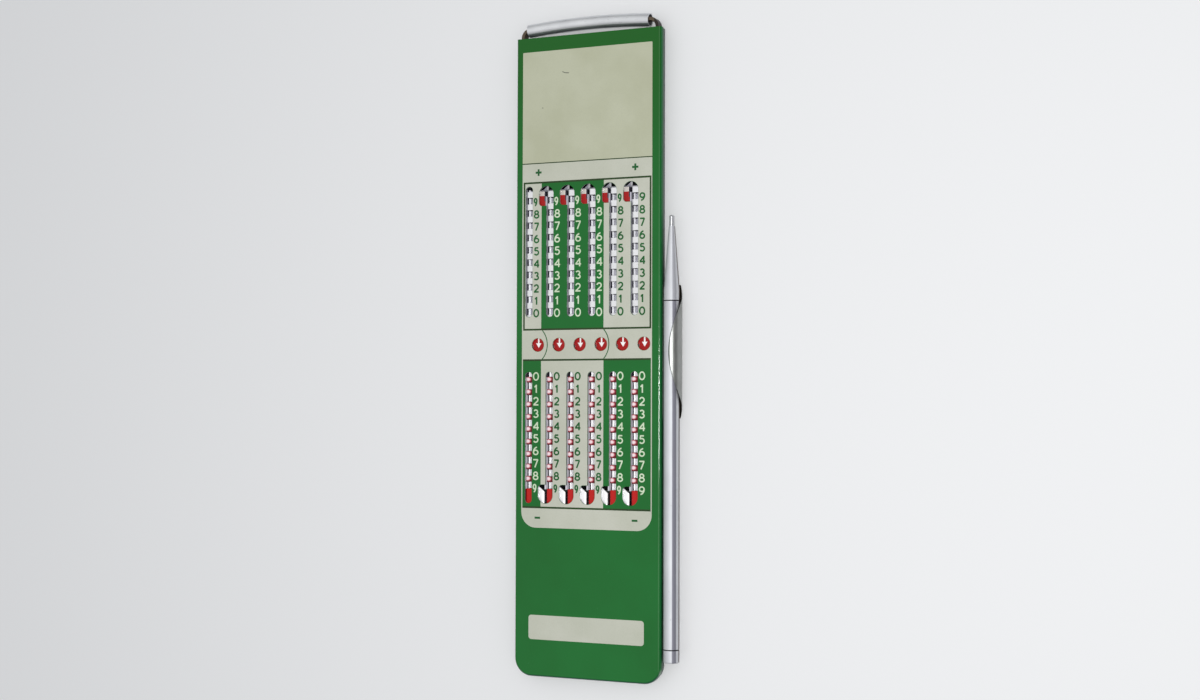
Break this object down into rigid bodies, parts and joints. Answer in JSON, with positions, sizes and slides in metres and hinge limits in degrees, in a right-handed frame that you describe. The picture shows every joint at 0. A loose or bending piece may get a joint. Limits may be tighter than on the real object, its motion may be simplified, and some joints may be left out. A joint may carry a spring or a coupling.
{
  "type": "slide adder",
  "caption": "Pocket slide adder: toothed sliders in a lacquered sheet-metal case, a pull-out clearing bail at the top and a stylus clipped to its side.",
  "frame": {"origin": "middle of the case's flat back", "axes": "+X across the case towards the stylus, +Y along it towards the bail, +Z out of its face"},
  "size_m": [0.045, 0.167, 0.0051],
  "materials": {
    "green_lacquer": "smooth green lacquer with cream printing",
    "bare_sheet": "bare dull sheet",
    "bright_sheet": "bare bright sheet",
    "spring_steel": "plain spring sheet",
    "slider_metal": "bright sheet, part of each strip lacquered red",
    "strip_steel": "dull strip, browned with age",
    "tube_metal": "satin drawn tube",
    "clip_steel": "dull nickelled spring sheet",
    "tip_steel": "polished pin",
    "stylus_metal": "satin turned metal"
  },
  "bodies": {
    "case": {"front_cover": "green_lacquer", "back_cover": "bare_sheet", "guide_plate": "bright_sheet", "brake_spring": "spring_steel", "stylus_clip": "clip_steel"},
    "slider_1": {"slider_1": "slider_metal"},
    "slider_2": {"slider_2": "slider_metal"},
    "slider_3": {"slider_3": "slider_metal"},
    "slider_4": {"slider_4": "slider_metal"},
    "slider_5": {"slider_5": "slider_metal"},
    "slider_6": {"slider_6": "slider_metal"},
    "clearing_bail": {"clearing_bar": "strip_steel", "bar_rivets": "strip_steel", "clearing_leg_left": "strip_steel", "clearing_leg_right": "strip_steel", "grip_tube": "tube_metal"},
    "stylus": {"stylus_tip": "tip_steel", "stylus_nose": "stylus_metal", "stylus_barrel": "stylus_metal", "stylus_cap": "stylus_metal"}
  },
  "joints": [
    {"name": "slider_1_slide", "type": "slide", "parent": "case", "child": "slider_1", "axis": [0, 1, 0], "range_m": [-0.03465, 0]},
    {"name": "slider_2_slide", "type": "slide", "parent": "case", "child": "slider_2", "axis": [0, 1, 0], "range_m": [-0.03465, 0]},
    {"name": "slider_3_slide", "type": "slide", "parent": "case", "child": "slider_3", "axis": [0, 1, 0], "range_m": [-0.03465, 0]},
    {"name": "slider_4_slide", "type": "slide", "parent": "case", "child": "slider_4", "axis": [0, 1, 0], "range_m": [-0.03465, 0]},
    {"name": "slider_5_slide", "type": "slide", "parent": "case", "child": "slider_5", "axis": [0, 1, 0], "range_m": [-0.03465, 0]},
    {"name": "slider_6_slide", "type": "slide", "parent": "case", "child": "slider_6", "axis": [0, 1, 0], "range_m": [-0.03465, 0]},
    {"name": "clearing_pull", "type": "slide", "parent": "case", "child": "clearing_bail", "axis": [0, 1, 0], "range_m": [0, 0.03465]},
    {"name": "stylus_pull", "type": "slide", "parent": "case", "child": "stylus", "axis": [0, 1, 0], "range_m": [-0.052, 0]}
  ]
}
